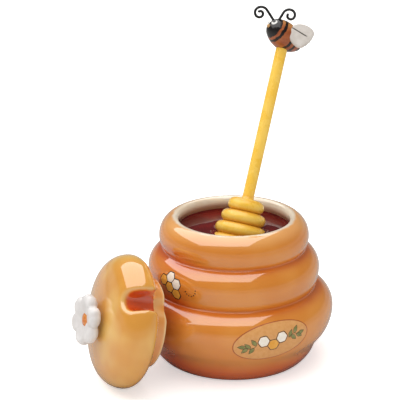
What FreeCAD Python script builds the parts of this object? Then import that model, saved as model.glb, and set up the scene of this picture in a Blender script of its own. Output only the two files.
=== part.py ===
import FreeCAD, Part
import math
import os
from FreeCAD import Placement, Rotation, Vector

# A ceramic honey pot in the form of a straw beehive, filled with honey, with its
# dipper standing in the honey and its lid leaning on edge against the pot.
# Millimetres. The origin is at the middle of the pot's foot, on the table, +Z up.

# Pot: three tiers and a rolled mouth ring over a foot
pot_height = 76.5
wall = 4.3
floor_thickness = 5.0
foot_radius = 37.9
foot_swell_radius = 42.0
foot_swell_height = 4.6
foot_ring_width = 7.5
foot_recess = 1.2
foot_groove_radius = 44.5
foot_groove_height = 11.2
low_tier_radius = 52.4
low_tier_height = 28.2
low_groove_radius = 42.6
low_groove_height = 39.6
high_tier_radius = 44.8
high_tier_height = 49.5
high_groove_radius = 37.2
high_groove_height = 59.9
ring_radius = 39.1
ring_height = 66.3
crest_radius = 30.6
mouth_radius = 28.5
lip_drop = 4.0
groove_fillet = 0.9

# Honey
honey_level = 69.5

# Lid
lid_radius = 34.0
lid_height = 22.6
lid_rim_rounding = 6.5
lid_shoulder = 12.6
lid_wall = 4.6
flange_clearance = 5.5
flange_depth = 7.2
flange_rounding = 1.4
notch_width = 10.0
notch_depth = 11.6
notch_rounding = 1.8
notch_slant = 12.0
lid_lean = 11.4
lid_facing = -159.6
lid_spin = 131.0
lid_bearing = -143.7
lid_gap = 0.03

# Flower knob
petal_count = 6
flower_radius = 13.4
petal_radius = 5.1
petal_thickness = 6.4
petal_rounding = 2.9
heart_radius = 6.4
heart_thickness = 4.0
heart_rise = 0.4
stem_radius = 4.6
stem_length = 1.9
centre_radius = 4.0
centre_rise = 1.3
flower_turn = -11.0
flower_tilt = 5.0
flower_tilt_axis = 49.0

# Dipper: a stick with a ridged head
stick_radius = 3.0
stick_length = 85.2
ridge_count = 7
ridge_pitch = 6.5
widest_ridge_radius = 14.5
ridge_step = 1.1
ridge_power = 1.37
ridge_depth = 2.2
head_end_radius = 4.5
stick_fillet = 1.3
head_above_honey = 16.7
dipper_x = 3.2
dipper_y = -5.2
dipper_lean = 25.3
dipper_heading = 58.7
dipper_spin = 150.7

# Bee on the top of the stick
bee_length = 22.6
bee_radius = 7.3
bee_head_radius = 6.0
bee_tail_radius = 3.0
bee_waist_x = 0.6
bee_brow_angle = 62.0
bee_hip_angle = 48.0
bee_pitch = 19.9
socket_depth = 5.0
eye_radius = 1.9
eye_spread = 22.0
eye_lift = 15.0
eye_rise = 0.7
nose_radius = 1.0
nose_drop = 12.0
wing_thickness = 2.0
wing_rounding = 0.8
wing_sweep = 61.0
wing_root_ahead = 2.0
wing_root_side = 5.8
wing_root_height = 3.8
fore_lobe_length = 12.2
fore_lobe_width = 7.4
fore_lobe_angle = 13.0
hind_lobe_length = 11.8
hind_lobe_width = 8.0
hind_lobe_angle = -31.0
wing_line_angle = -1.0
wing_line_width = 0.4
wing_line_depth = 0.35
feeler_radius = 0.45
feeler_root_spread = 29.4
feeler_root_lift = 41.0
feeler_facing = 61.0
feeler_tip = -12.6
curl_shrink = 0.77
right_feeler_stalk = 7.0
right_feeler_angle = 63.0
right_curl_radius = 3.6
right_curl_quarters = 5
left_feeler_stalk = 5.2
left_feeler_angle = -1.5
left_curl_radius = 3.4
left_curl_quarters = 4

PARTS = "parts"

# How near an edge lies to where it is looked for
edge_tolerance = 0.05


def at(radius, height):
    """Point of a turned section, at a radius from the axis and a height along it."""
    return Vector(radius, 0, height)


def line(start, end):
    """Straight edge of a section."""
    return Part.LineSegment(at(*start), at(*end)).toShape()


def swell(widest, groove):
    """Arc of a section from its widest point, where it stands upright, to a groove."""
    inset = widest[0] - groove[0]
    rise = groove[1] - widest[1]
    radius = (inset * inset + rise * rise) / (2 * inset)
    centre = widest[0] - radius
    half_angle = math.atan2(rise, groove[0] - centre) / 2
    middle = (centre + radius * math.cos(half_angle), widest[1] + radius * math.sin(half_angle))
    return Part.Arc(at(*widest), at(*middle), at(*groove)).toShape()


def tier_side(widest, groove):
    """Side of a tier from its widest point to a groove; a quarter ellipse if it is wider than it is high."""
    inset = widest[0] - groove[0]
    rise = groove[1] - widest[1]
    if inset <= abs(rise):
        return swell(widest, groove)
    return quarter_ellipse((groove[0], widest[1]), inset, rise)


def room_side(widest, groove):
    """Side of the room inside a tier, a wall in from the tier's own. Where the tier runs level into its
    groove, the room's side stops a wall short of the groove's height and goes on upright."""
    inner_widest = (widest[0] - wall, widest[1])
    inner_groove = (groove[0] - wall, groove[1])
    rise = groove[1] - widest[1]
    if widest[0] - groove[0] <= abs(rise):
        return [swell(inner_widest, inner_groove)]
    stop = (inner_groove[0], groove[1] - math.copysign(wall, rise))
    return [tier_side(inner_widest, stop), line(stop, inner_groove)]


def quarter_ellipse(centre, reach, rise):
    """Quarter of an ellipse about a centre, from its side to its top."""
    middle = at(*centre)
    side = middle + Vector(reach, 0, 0)
    top = middle + Vector(0, 0, rise)
    if abs(reach) >= abs(rise):
        curve = Part.Ellipse(side, top, middle)
    else:
        curve = Part.Ellipse(top, side, middle)
    return Part.ArcOfEllipse(curve, 0, math.pi / 2).toShape()


def turned(edges):
    """Solid of revolution about Z of a closed section."""
    wire = Part.Wire(Part.__sortEdges__(edges))
    return Part.Face(wire).revolve(Vector(0, 0, 0), Vector(0, 0, 1), 360)


def circle_edges(solid, radius, height):
    """Round edges about Z of a given radius and height."""
    found = []
    for edge in solid.Edges:
        curve = edge.Curve
        if not isinstance(curve, Part.Circle):
            continue
        on_axis = math.hypot(curve.Center.x, curve.Center.y) < edge_tolerance
        fits = math.hypot(curve.Radius - radius, curve.Center.z - height) < edge_tolerance
        if on_axis and fits:
            found.append(edge)
    return found


def pot_cavity():
    """The room inside the pot, up to the underside of its lip."""
    foot_groove = (foot_groove_radius, foot_groove_height)
    low_tier = (low_tier_radius, low_tier_height)
    low_groove = (low_groove_radius, low_groove_height)
    high_tier = (high_tier_radius, high_tier_height)
    high_groove = (high_groove_radius, high_groove_height)
    throat = (high_groove_radius - wall, high_groove_height)
    lip = (mouth_radius, pot_height - lip_drop)
    side_radius = foot_groove_radius - wall
    corner = foot_groove_height - floor_thickness
    diagonal = math.sqrt(0.5)
    edges = [
        line((0, floor_thickness), (side_radius - corner, floor_thickness)),
        Part.Arc(
            at(side_radius - corner, floor_thickness),
            at(side_radius - corner * (1 - diagonal), foot_groove_height - corner * diagonal),
            at(side_radius, foot_groove_height),
        ).toShape(),
        line(throat, lip),
        line(lip, (0, lip[1])),
        line((0, lip[1]), (0, floor_thickness)),
    ]
    edges += room_side(low_tier, foot_groove)
    edges += room_side(low_tier, low_groove)
    edges += room_side(high_tier, low_groove)
    edges += room_side(high_tier, high_groove)
    return turned(edges)


def pot_form():
    """The pot's outer form, closed across the mouth at the underside of the lip."""
    foot_groove = (foot_groove_radius, foot_groove_height)
    low_tier = (low_tier_radius, low_tier_height)
    low_groove = (low_groove_radius, low_groove_height)
    high_tier = (high_tier_radius, high_tier_height)
    high_groove = (high_groove_radius, high_groove_height)
    ring = (ring_radius, ring_height)
    lip = (mouth_radius, pot_height - lip_drop)
    recess_radius = foot_radius - foot_ring_width
    foot_swell = (foot_swell_radius, foot_swell_height)
    edges = [
        line((0, foot_recess), (recess_radius - foot_recess, foot_recess)),
        line((recess_radius - foot_recess, foot_recess), (recess_radius, 0)),
        line((recess_radius, 0), (foot_radius, 0)),
        Part.Arc(at(foot_radius, 0), at(*foot_swell), at(*foot_groove)).toShape(),
        tier_side(low_tier, foot_groove),
        tier_side(low_tier, low_groove),
        tier_side(high_tier, low_groove),
        tier_side(high_tier, high_groove),
        tier_side(ring, high_groove),
        quarter_ellipse((crest_radius, ring_height), ring_radius - crest_radius, pot_height - ring_height),
        quarter_ellipse((crest_radius, lip[1]), mouth_radius - crest_radius, lip_drop),
        line(lip, (0, lip[1])),
        line((0, lip[1]), (0, foot_recess)),
    ]
    form = turned(edges)
    grooves = []
    for radius, height in (foot_groove, low_groove, high_groove):
        grooves += circle_edges(form, radius, height)
    return form.makeFillet(groove_fillet, grooves)


def honey_pot():
    """The pot, hollowed."""
    return pot_form().cut(pot_cavity())


def honey(dipper):
    """Honey up to its level, in the pot's room and round the dipper's head."""
    size = 2 * low_tier_radius
    below = Part.makeBox(2 * size, 2 * size, honey_level, Vector(-size, -size, 0))
    return pot_cavity().common(below).cut(dipper)


def dome_edges(radius, height, shoulder):
    """Dome over the rim's widest line: a tight shoulder arc that runs into a wide crown arc."""
    rise = height - lid_rim_rounding
    inset = radius - shoulder
    crown = (radius * radius - 2 * radius * shoulder + rise * rise) / (2 * (rise - shoulder))
    joint = math.atan2(crown - rise, inset)
    half = joint / 2
    rim = (radius, lid_rim_rounding)
    side = (inset + shoulder * math.cos(half), lid_rim_rounding + shoulder * math.sin(half))
    meet = (inset + shoulder * math.cos(joint), lid_rim_rounding + shoulder * math.sin(joint))
    high = (joint + math.pi / 2) / 2
    cap = (crown * math.cos(high), height - crown + crown * math.sin(high))
    return [
        Part.Arc(at(*rim), at(*side), at(*meet)).toShape(),
        Part.Arc(at(*meet), at(*cap), at(0, height)).toShape(),
    ]


def notch_frame():
    """Middle of the notch's round end at the rim, leaning outwards as the stick in it does."""
    end = lid_radius - notch_depth + notch_width / 2
    return Placement(Vector(end, 0, 0), Rotation(Vector(0, 1, 0), notch_slant))


def notch_channel(half):
    """Slot of a given half width from the rim inwards, with a round end."""
    reach = lid_height + flange_depth
    bore = Part.makeCylinder(half, 2 * reach, Vector(0, 0, -reach))
    slot = Part.makeBox(lid_radius, 2 * half, 2 * reach, Vector(0, -half, -reach))
    channel = bore.fuse(slot).removeSplitter()
    channel.Placement = notch_frame()
    return channel


def on_notch_lip(edge):
    """True for an edge along which the notch breaks out through the dome and the rim's rounding."""
    half = notch_width / 2
    if edge.Degenerated:
        return False
    frame = notch_frame()
    start, middle, end = [frame.inverse().multVec(point) for point in edge.discretize(3)]
    upright = math.hypot(end.x - start.x, end.y - start.y) < 0.01 and abs(end.z - start.z) > 0.01
    if frame.multVec(middle).z < lid_rim_rounding / 4 or upright:
        return False
    if middle.x >= 0:
        return abs(abs(middle.y) - half) < 0.01
    return abs(math.hypot(middle.x, middle.y) - half) < 0.01


def lid_own_frame():
    """Hollow dome with a flange that drops into the mouth; the rim's underside is at height 0."""
    flange_radius = mouth_radius - flange_clearance
    diagonal = math.sqrt(0.5)
    slack = flange_rounding * (1 - diagonal)
    outer = [
        line((0, lid_height), (0, -flange_depth)),
        line((0, -flange_depth), (flange_radius - flange_rounding, -flange_depth)),
        Part.Arc(
            at(flange_radius - flange_rounding, -flange_depth),
            at(flange_radius - slack, slack - flange_depth),
            at(flange_radius, -flange_depth + flange_rounding),
        ).toShape(),
        line((flange_radius, -flange_depth + flange_rounding), (flange_radius, 0)),
        line((flange_radius, 0), (lid_radius - lid_rim_rounding, 0)),
        Part.Arc(
            at(lid_radius - lid_rim_rounding, 0),
            at(lid_radius - lid_rim_rounding * (1 - diagonal), lid_rim_rounding * (1 - diagonal)),
            at(lid_radius, lid_rim_rounding),
        ).toShape(),
    ] + dome_edges(lid_radius, lid_height, lid_shoulder)
    opening = flange_radius - lid_wall
    room = lid_radius - lid_wall
    inner = [
        line((0, lid_height - lid_wall), (0, -flange_depth)),
        line((0, -flange_depth), (opening, -flange_depth)),
        line((opening, -flange_depth), (opening, 0)),
        line((opening, 0), (room, lid_rim_rounding)),
    ] + dome_edges(room, lid_height - lid_wall, lid_shoulder - lid_wall)
    form = turned(outer)
    room_round_channel = turned(inner).cut(notch_channel(notch_width / 2 + lid_wall))
    lid = form.cut(room_round_channel).cut(notch_channel(notch_width / 2))
    lips = [edge for edge in lid.Edges if on_notch_lip(edge)]
    return lid.makeFillet(notch_rounding, lips)


def tier_gap(point, widest, groove):
    """Distance of a point outside the pot from the upper or lower arc of one tier."""
    inset = widest[0] - groove[0]
    rise = groove[1] - widest[1]
    radius = (inset * inset + rise * rise) / (2 * inset)
    reach = math.hypot(point.x, point.y)
    return math.hypot(reach - widest[0] + radius, point.z - widest[1]) - radius


def lid_placement(distance):
    """Lid on edge on the table, leaning back, with its middle at a distance from the pot's axis."""
    lean = math.radians(lid_lean)
    bearing = math.radians(lid_bearing)
    rise = (lid_radius - lid_rim_rounding) * math.cos(lean) + lid_rim_rounding * (1 - math.sin(lean))
    middle = Vector(distance * math.cos(bearing), distance * math.sin(bearing), rise)
    facing = Rotation(Vector(0, 0, 1), lid_facing)
    tip = Rotation(Vector(0, 1, 0), 90 - lid_lean)
    spin = Rotation(Vector(0, 0, 1), lid_spin)
    return Placement(middle, facing.multiply(tip).multiply(spin))


def lid_clearance(distance):
    """Smallest gap between the lid's two round edges and the pot's two tiers."""
    place = lid_placement(distance)
    flange_radius = mouth_radius - flange_clearance
    flange = (flange_radius - flange_rounding, flange_rounding - flange_depth, flange_rounding)
    rim = (lid_radius - lid_rim_rounding, lid_rim_rounding, lid_rim_rounding)
    low_tier = (low_tier_radius, low_tier_height)
    high_tier = (high_tier_radius, high_tier_height)
    low_groove = (low_groove_radius, low_groove_height)
    gaps = []
    for radius, height, rounding in (flange, rim):
        for step in range(720):
            angle = math.radians(step / 2)
            spot = place.multVec(Vector(radius * math.cos(angle), radius * math.sin(angle), height))
            gaps.append(tier_gap(spot, low_tier, low_groove) - rounding)
            gaps.append(tier_gap(spot, high_tier, low_groove) - rounding)
    return min(gaps)


def lid_distance():
    """Distance at which the lid just touches the pot."""
    near = low_tier_radius
    far = low_tier_radius + 2 * lid_radius
    for _ in range(40):
        middle = (near + far) / 2
        if lid_clearance(middle) < lid_gap:
            near = middle
        else:
            far = middle
    return far


def puck(radius, thickness, rounding, place):
    """Round pad with softly rounded edges, lying about a point."""
    half = thickness / 2
    diagonal = math.sqrt(0.5)
    top_in = (radius - rounding, half)
    top_out = (radius, half - rounding)
    slack = rounding * (1 - diagonal)
    edges = [
        line((0, -half), (0, half)),
        line((0, half), top_in),
        Part.Arc(at(*top_in), at(radius - slack, half - slack), at(*top_out)).toShape(),
        line(top_out, (radius, rounding - half)),
        Part.Arc(
            at(radius, rounding - half),
            at(radius - slack, slack - half),
            at(radius - rounding, -half),
        ).toShape(),
        line((radius - rounding, -half), (0, -half)),
    ]
    pad = turned(edges)
    pad.translate(place)
    return pad


def flower_height():
    """Height of the flower's middle plane over the lid's rim."""
    return lid_height + stem_length + petal_thickness / 2


def flower_placement():
    """The flower's slight tilt about the top of the dome."""
    angle = math.radians(flower_tilt_axis)
    tilt = Rotation(Vector(math.cos(angle), math.sin(angle), 0), flower_tilt)
    return Placement(Vector(0, 0, 0), tilt, Vector(0, 0, lid_height))


def flower_knob_own_frame():
    """Six puffy petals round a thinner heart, on a short stem seated on the dome."""
    height = flower_height()
    heart_place = Vector(0, 0, height + heart_rise - heart_thickness / 2)
    flower = puck(heart_radius, heart_thickness, heart_thickness / 3, heart_place)
    for index in range(petal_count):
        angle = math.radians(flower_turn + index * 360 / petal_count)
        out = flower_radius - petal_radius
        spot = Vector(out * math.cos(angle), out * math.sin(angle), height)
        flower = flower.fuse(puck(petal_radius, petal_thickness, petal_rounding, spot))
    stem_place = Vector(0, 0, lid_height - lid_wall)
    stem = Part.makeCylinder(stem_radius, height - lid_height + lid_wall, stem_place)
    return place(flower, flower_placement()).fuse(stem.cut(lid_dome()))


def lid_dome():
    """The lid's dome as a full solid, for seating what stands on it."""
    edges = [
        line((0, lid_height), (0, lid_rim_rounding)),
        line((0, lid_rim_rounding), (lid_radius, lid_rim_rounding)),
    ] + dome_edges(lid_radius, lid_height, lid_shoulder)
    return turned(edges)


def knob_centre_own_frame(flower):
    """Low round button on the flower's heart, between the petals."""
    top = flower_height() + heart_rise
    ball = (centre_radius * centre_radius + centre_rise * centre_rise) / (2 * centre_rise)
    half = math.asin(centre_radius / ball) / 2
    edges = [
        line((0, top), (centre_radius, top)),
        Part.Arc(
            at(centre_radius, top),
            at(ball * math.sin(half), top + centre_rise - ball * (1 - math.cos(half))),
            at(0, top + centre_rise),
        ).toShape(),
        line((0, top + centre_rise), (0, top)),
    ]
    return place(turned(edges), flower_placement()).cut(flower)


def ridge_radius(index):
    """Radius of a ridge of the head, counted from the top; the middle one is the widest."""
    steps = abs(index - (ridge_count - 1) / 2)
    return widest_ridge_radius - ridge_step * steps ** ridge_power


def dipper_own_frame():
    """Stick and ridged head in one piece; the head's top is at height 0 and the stick points up."""
    edges = []
    upper = (head_end_radius, 0)
    edges.append(line((0, 0), upper))
    for index in range(ridge_count):
        tip = (ridge_radius(index), -(index + 0.5) * ridge_pitch)
        bottom = -(index + 1) * ridge_pitch
        if index + 1 < ridge_count:
            lower = (min(ridge_radius(index), ridge_radius(index + 1)) - ridge_depth, bottom)
        else:
            lower = (head_end_radius, bottom)
        edges.append(swell(tip, upper))
        edges.append(swell(tip, lower))
        upper = lower
    edges.append(line(upper, (0, upper[1])))
    edges.append(line((0, upper[1]), (0, 0)))
    head = turned(edges)
    stick = Part.makeCylinder(stick_radius, stick_length, Vector(0, 0, 0))
    whole = head.fuse(stick)
    return whole.makeFillet(stick_fillet, circle_edges(whole, stick_radius, 0))


def dipper_placement():
    """Dipper leaning in the honey, its head's top a set length above the level."""
    heading = Rotation(Vector(0, 0, 1), dipper_heading)
    lean = Rotation(Vector(0, 1, 0), dipper_lean)
    spin = Rotation(Vector(0, 0, 1), dipper_spin)
    turn = heading.multiply(lean).multiply(spin)
    axis = turn.multVec(Vector(0, 0, 1))
    base = Vector(dipper_x, dipper_y, honey_level) + axis * head_above_honey
    return Placement(base, turn)


def bee_frame():
    """Placement of the bee's own frame on the stick: X to its face, Y to its left, Z to its back."""
    middle = Vector(0, 0, stick_length - socket_depth + bee_radius)
    return Placement(middle, Rotation(Vector(0, 1, 0), -bee_pitch))


def on_cap(radius, middle, angle, facing):
    """Point of a round cap's section at an angle from the bee's own axis."""
    return (radius * math.sin(angle), middle + facing * radius * math.cos(angle))


def bee_body_form():
    """Egg-shaped body with a round head, turned about the bee's X axis."""
    head_middle = bee_length / 2 - bee_head_radius
    tail_middle = -bee_length / 2 + bee_tail_radius
    head_joint = math.radians(bee_brow_angle)
    tail_joint = math.radians(bee_hip_angle)
    shoulder = on_cap(bee_head_radius, head_middle, head_joint, 1)
    brow = on_cap(bee_head_radius, head_middle, head_joint / 2, 1)
    rump = on_cap(bee_tail_radius, tail_middle, tail_joint, -1)
    hip = on_cap(bee_tail_radius, tail_middle, tail_joint / 2, -1)
    waist = (bee_radius, bee_waist_x)
    nose = (0, bee_length / 2)
    end = (0, -bee_length / 2)
    edges = [
        Part.Arc(at(*nose), at(*brow), at(*shoulder)).toShape(),
        swell(waist, shoulder),
        swell(waist, rump),
        Part.Arc(at(*end), at(*hip), at(*rump)).toShape(),
        line(end, nose),
    ]
    body = turned(edges)
    body.Placement = Placement(Vector(0, 0, 0), Rotation(Vector(0, 1, 0), 90))
    return body


def place(shape, *placements):
    """Copy of a shape carried through placements, the innermost first."""
    moved = shape.copy()
    for placement in placements:
        moved.Placement = placement.multiply(moved.Placement)
    return moved


def head_spot(spread, lift, distance):
    """Point at a distance from the head's middle, turned to the left and up from straight ahead."""
    side = math.radians(spread)
    up = math.radians(lift)
    middle = bee_length / 2 - bee_head_radius
    ahead = distance * math.cos(up) * math.cos(side)
    return Vector(middle + ahead, distance * math.cos(up) * math.sin(side), distance * math.sin(up))


def bee_eye(side, body):
    """Low round eye seated on the head, on one side."""
    spot = head_spot(side * eye_spread, eye_lift, bee_head_radius + eye_rise - eye_radius)
    return Part.makeSphere(eye_radius, spot).cut(body)


def bee_nose(body):
    """Small ball nose seated on the face."""
    spot = head_spot(0, -nose_drop, bee_head_radius)
    return Part.makeSphere(nose_radius, spot).cut(body)


def wing_lobe(length, width, angle):
    """One lobe of a wing: an oval pad with rounded edges, reaching out from the root along X."""
    oval = Part.Ellipse(Vector(0, 0, 0), length / 2, width / 2).toShape()
    pad = Part.Face(Part.Wire([oval])).extrude(Vector(0, 0, wing_thickness))
    rims = [edge for edge in pad.Edges if isinstance(edge.Curve, Part.Ellipse)]
    pad = pad.makeFillet(wing_rounding, rims)
    pad.translate(Vector(length / 2, 0, -wing_thickness / 2))
    pad.rotate(Vector(0, 0, 0), Vector(0, 0, 1), angle)
    return pad


def bee_wing(side, body):
    """Raised, swept-back wing of a fore and a hind lobe, with the line between them cut in its outer face."""
    fore = wing_lobe(fore_lobe_length, fore_lobe_width, fore_lobe_angle)
    hind = wing_lobe(hind_lobe_length, hind_lobe_width, hind_lobe_angle)
    line_place = Vector(-fore_lobe_length, -wing_line_width / 2, side * wing_thickness / 2 - wing_line_depth)
    groove = Part.makeBox(2 * fore_lobe_length, wing_line_width, 2 * wing_line_depth, line_place)
    groove.rotate(Vector(0, 0, 0), Vector(0, 0, 1), wing_line_angle)
    wing = fore.fuse(hind).cut(groove)
    sweep = math.radians(wing_sweep)
    out = Vector(-math.sin(sweep), side * math.cos(sweep), 0)
    up = Vector(0, 0, 1)
    turn = Rotation(out, up, out.cross(up), "ZXY")
    root = Vector(wing_root_ahead, side * wing_root_side, wing_root_height)
    wing.Placement = Placement(root, turn)
    return wing.cut(body)


def curl_path(stalk, first_radius, quarters, side):
    """Path in the XY plane: a straight stalk up Y that winds up in shrinking quarter turns."""
    edges = [Part.LineSegment(Vector(0, 0, 0), Vector(0, stalk, 0)).toShape()]
    spot = Vector(0, stalk, 0)
    heading = Vector(0, 1, 0)
    radius = first_radius
    for _ in range(quarters):
        inwards = Vector(side * heading.y, -side * heading.x, 0)
        centre = spot + inwards * radius
        middle = centre + (heading - inwards).normalize() * radius
        end = centre + heading * radius
        edges.append(Part.Arc(spot, middle, end).toShape())
        spot = end
        heading = inwards
        radius *= curl_shrink
    return Part.Wire(edges), spot


def bee_feeler(side, stalk, angle, first_radius, quarters, body):
    """Wire feeler with a curled end, standing on the head on one side."""
    path, end = curl_path(stalk, first_radius, quarters, side)
    ring = Part.Wire([Part.Circle(Vector(0, 0, 0), Vector(0, 1, 0), feeler_radius).toShape()])
    feeler = path.makePipeShell([ring], True, False)
    feeler = feeler.fuse(Part.makeSphere(feeler_radius, end))
    root = head_spot(side * feeler_root_spread, feeler_root_lift, bee_head_radius - feeler_radius)
    facing = Rotation(Vector(0, 0, 1), feeler_facing)
    stand = Rotation(Vector(0, 1, 0), 90 - feeler_tip)
    upright = Rotation(Vector(0, 0, 1), 90 + angle)
    feeler.Placement = Placement(root, facing.multiply(stand).multiply(upright))
    return feeler.cut(body)


def write(name, shape):
    """Write one solid as the STEP file of its node."""
    solid = shape.Solids[0] if len(shape.Solids) == 1 else shape
    print(name, "solids", len(shape.Solids), "valid", shape.isValid(), "volume", round(shape.Volume, 1))
    solid.exportStep(os.path.join(PARTS, name + ".step"))


def main():
    os.makedirs("parts", exist_ok=True)
    in_honey = dipper_placement()
    dipper = place(dipper_own_frame(), in_honey)
    write("honey_pot", honey_pot())
    write("honey", honey(dipper))
    on_stick = bee_frame()
    body = bee_body_form()
    stick = place(dipper_own_frame(), on_stick.inverse())
    body_bored = body.cut(stick)
    write("honey_dipper", dipper)
    write("bee_body", place(body_bored, on_stick, in_honey))
    for side, name in ((1, "left"), (-1, "right")):
        write("bee_eye_" + name, place(bee_eye(side, body), on_stick, in_honey))
        write("bee_wing_" + name, place(bee_wing(side, body), on_stick, in_honey))
    left_curl = (left_feeler_stalk, left_feeler_angle, left_curl_radius, left_curl_quarters)
    right_curl = (right_feeler_stalk, right_feeler_angle, right_curl_radius, right_curl_quarters)
    left = bee_feeler(1, *left_curl, body)
    right = bee_feeler(-1, *right_curl, body)
    write("bee_feeler_left", place(left, on_stick, in_honey))
    write("bee_feeler_right", place(right, on_stick, in_honey))
    write("bee_nose", place(bee_nose(body), on_stick, in_honey))
    leaning = lid_placement(lid_distance())
    write("lid", place(lid_own_frame(), leaning))
    flower = flower_knob_own_frame()
    write("flower_knob", place(flower, leaning))
    write("knob_centre", place(knob_centre_own_frame(flower), leaning))


main()
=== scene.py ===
"""Looks of a beehive honey pot: glazed pot, honey, bee-topped dipper and the notched lid leaning on it."""
import math

import bmesh
import bpy
import numpy as np
from mathutils import Matrix, Vector

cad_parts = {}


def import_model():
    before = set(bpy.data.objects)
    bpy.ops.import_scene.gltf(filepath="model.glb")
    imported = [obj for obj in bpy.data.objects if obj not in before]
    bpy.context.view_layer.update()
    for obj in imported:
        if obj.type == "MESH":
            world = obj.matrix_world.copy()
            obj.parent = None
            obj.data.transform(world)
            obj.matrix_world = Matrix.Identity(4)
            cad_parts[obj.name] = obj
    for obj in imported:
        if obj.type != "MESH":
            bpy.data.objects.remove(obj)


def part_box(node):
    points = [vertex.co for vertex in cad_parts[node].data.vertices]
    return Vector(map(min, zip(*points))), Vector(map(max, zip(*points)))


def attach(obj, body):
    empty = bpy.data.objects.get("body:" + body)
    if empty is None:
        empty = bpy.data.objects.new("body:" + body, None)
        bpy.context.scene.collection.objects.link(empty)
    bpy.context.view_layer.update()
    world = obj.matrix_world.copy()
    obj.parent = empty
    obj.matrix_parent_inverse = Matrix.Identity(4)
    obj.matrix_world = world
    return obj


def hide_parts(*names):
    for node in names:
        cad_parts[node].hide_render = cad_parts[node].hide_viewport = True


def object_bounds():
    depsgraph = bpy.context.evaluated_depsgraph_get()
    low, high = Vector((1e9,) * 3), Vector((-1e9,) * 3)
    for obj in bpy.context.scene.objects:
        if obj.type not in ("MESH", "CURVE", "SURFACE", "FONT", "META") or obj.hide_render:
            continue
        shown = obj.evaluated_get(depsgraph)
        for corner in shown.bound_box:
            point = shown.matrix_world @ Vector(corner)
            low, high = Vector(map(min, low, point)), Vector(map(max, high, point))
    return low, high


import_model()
cad_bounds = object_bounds()

# Sizes in millimetres and angles in degrees. Those under "looks" are this script's own, and the rest are the
# part's. Meshes are made in metres.
MM = 0.001

# Pot: radius and height of each widest line and groove, from the foot up
foot_radius = 37.9
foot_ring_width = 7.5
foot_recess = 1.2
foot_swell = (42.0, 4.6)
foot_groove = (44.5, 11.2)
low_tier = (52.4, 28.2)
low_groove = (42.6, 39.6)
high_tier = (44.8, 49.5)
high_groove = (37.2, 59.9)
ring = (39.1, 66.3)
crest_radius = 30.6
pot_height = 76.5
mouth_radius = 28.5
lip_drop = 4.0
wall = 4.3
floor_thickness = 5.0
honey_level = 69.5

# Lid and its flower
lid_radius = 34.0
lid_height = 22.6
lid_rim_rounding = 6.5
lid_shoulder = 12.6
lid_wall = 4.6
flange_radius = 23.0
flange_depth = 7.2
flange_rounding = 1.4
notch_width = 10.0
notch_depth = 11.6
notch_slant = 12.0
lid_lean = 11.4
lid_facing = -159.6
lid_spin = 131.0
petal_count = 6
flower_radius = 13.4
petal_radius = 5.1
petal_thickness = 6.4
petal_rounding = 2.9
heart_radius = 6.4
heart_thickness = 4.0
heart_rounding = 1.3
heart_rise = 0.4
stem_radius = 4.6
knob_stem_length = 1.9
centre_radius = 4.0
centre_rise = 1.3
flower_turn = -11.0
flower_tilt = 5.0
flower_tilt_axis = 49.0
opening_radius = flange_radius - lid_wall
notch_end = lid_radius - notch_depth + notch_width / 2

# Lid and flower, looks: how the skins are made, and how far edges round over
lid_voxel = 0.54
lid_smoothing = 8
lip_reach = 3.4
corner_reach = 1.6
corner_share = 0.8
lip_rounds = 50
flower_voxel = 0.3
flower_smoothing = 6
petal_breadth = 1.09
tip_dip = 0.4
tip_dip_width = 1.2
petal_low = 0.45
petal_slope = (4.5, 6.5)

# Pot, looks: how its section is rounded, most of all in the groove over the foot
section_spacing = 0.75
section_softness = 0.55
foot_softness = 2.4

# Glaze, looks: where the lining, painted shade in it and the pale rim with a painted highlight start, and their
# spans
lining_start = (-3.2, 4.4)
stain_start = (2.5, 5.0)
pale_rim_and_highlight_start = (70.0, 6.0)
pale_rim_and_highlight_share = 0.22

# Glaze, looks: red pooled glaze with painted shade at the foot (top, span, share) and in grooves (height,
# spread, share), and painted shade on the side the lid leans on: how red it is there at each height
foot_pool = (15.0, 11.0, 0.78)
groove_pools = ((low_groove[1], 1.7, 0.5), (high_groove[1], 1.6, 0.55))
shaded_side_azimuth = -175.0
shaded_side_reach = 64.0
shaded_side_fade = 26.0
shaded_side_depths = ((0, 0.5), (12, 0.7), (25, 0.55), (36, 0.8), (42, 0.8), (47, 0.5), (52, 0.15), (57, 0.2),
                   (60, 0.5), (65, 0.5), (68, 0.0))

# Prints, looks: cells are placed in steps of their size, and dots by angle on a trail
badge_azimuth = -68.6
badge_height = 26.4
badge_width = 42.0
badge_aspect = 0.49
badge_tilt = 6.0
badge_cell = 3.3
stem_start = 2.7 * badge_cell
stem_length = 5.4
stem_bow = 1.4
stem_leaves = ((0.05, 58), (0.3, -50), (0.62, 50), (0.85, -36), (1.0, 8))
comb_azimuth = -138.0
comb_height = 51.2
comb_cell = 3.1
comb_cells = ((0, 0, "amber"), (1.5, 1, "cream"), (1.5, -1, "amber"), (3, 0, "cream"), (3, -2, "amber"))
dot_radius = 0.38
dot_angles = range(200, 369, 28)
dot_trail_radius = 3.0
dot_trail_drop = 1.2
cell_fill = 0.95
leaf_length = 4.4
leaf_width = 2.1
stroke_width = 0.6

# Dipper
stick_radius = 3.0
stick_length = 85.2
ridge_count = 7
ridge_pitch = 6.5
widest_ridge_radius = 14.5
ridge_step = 1.1
ridge_power = 1.37
ridge_depth = 2.2
head_end_radius = 4.5
head_above_honey = 16.7
dipper_x = 3.2
dipper_y = -5.2
dipper_lean = 25.3
dipper_heading = 58.7
dipper_spin = 150.7

# Honey, looks: how high and how far it creeps up the wall and the dipper
creep_height = 0.9
creep_at_wall = 0.9
creep_at_dipper = 1.1

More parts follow.
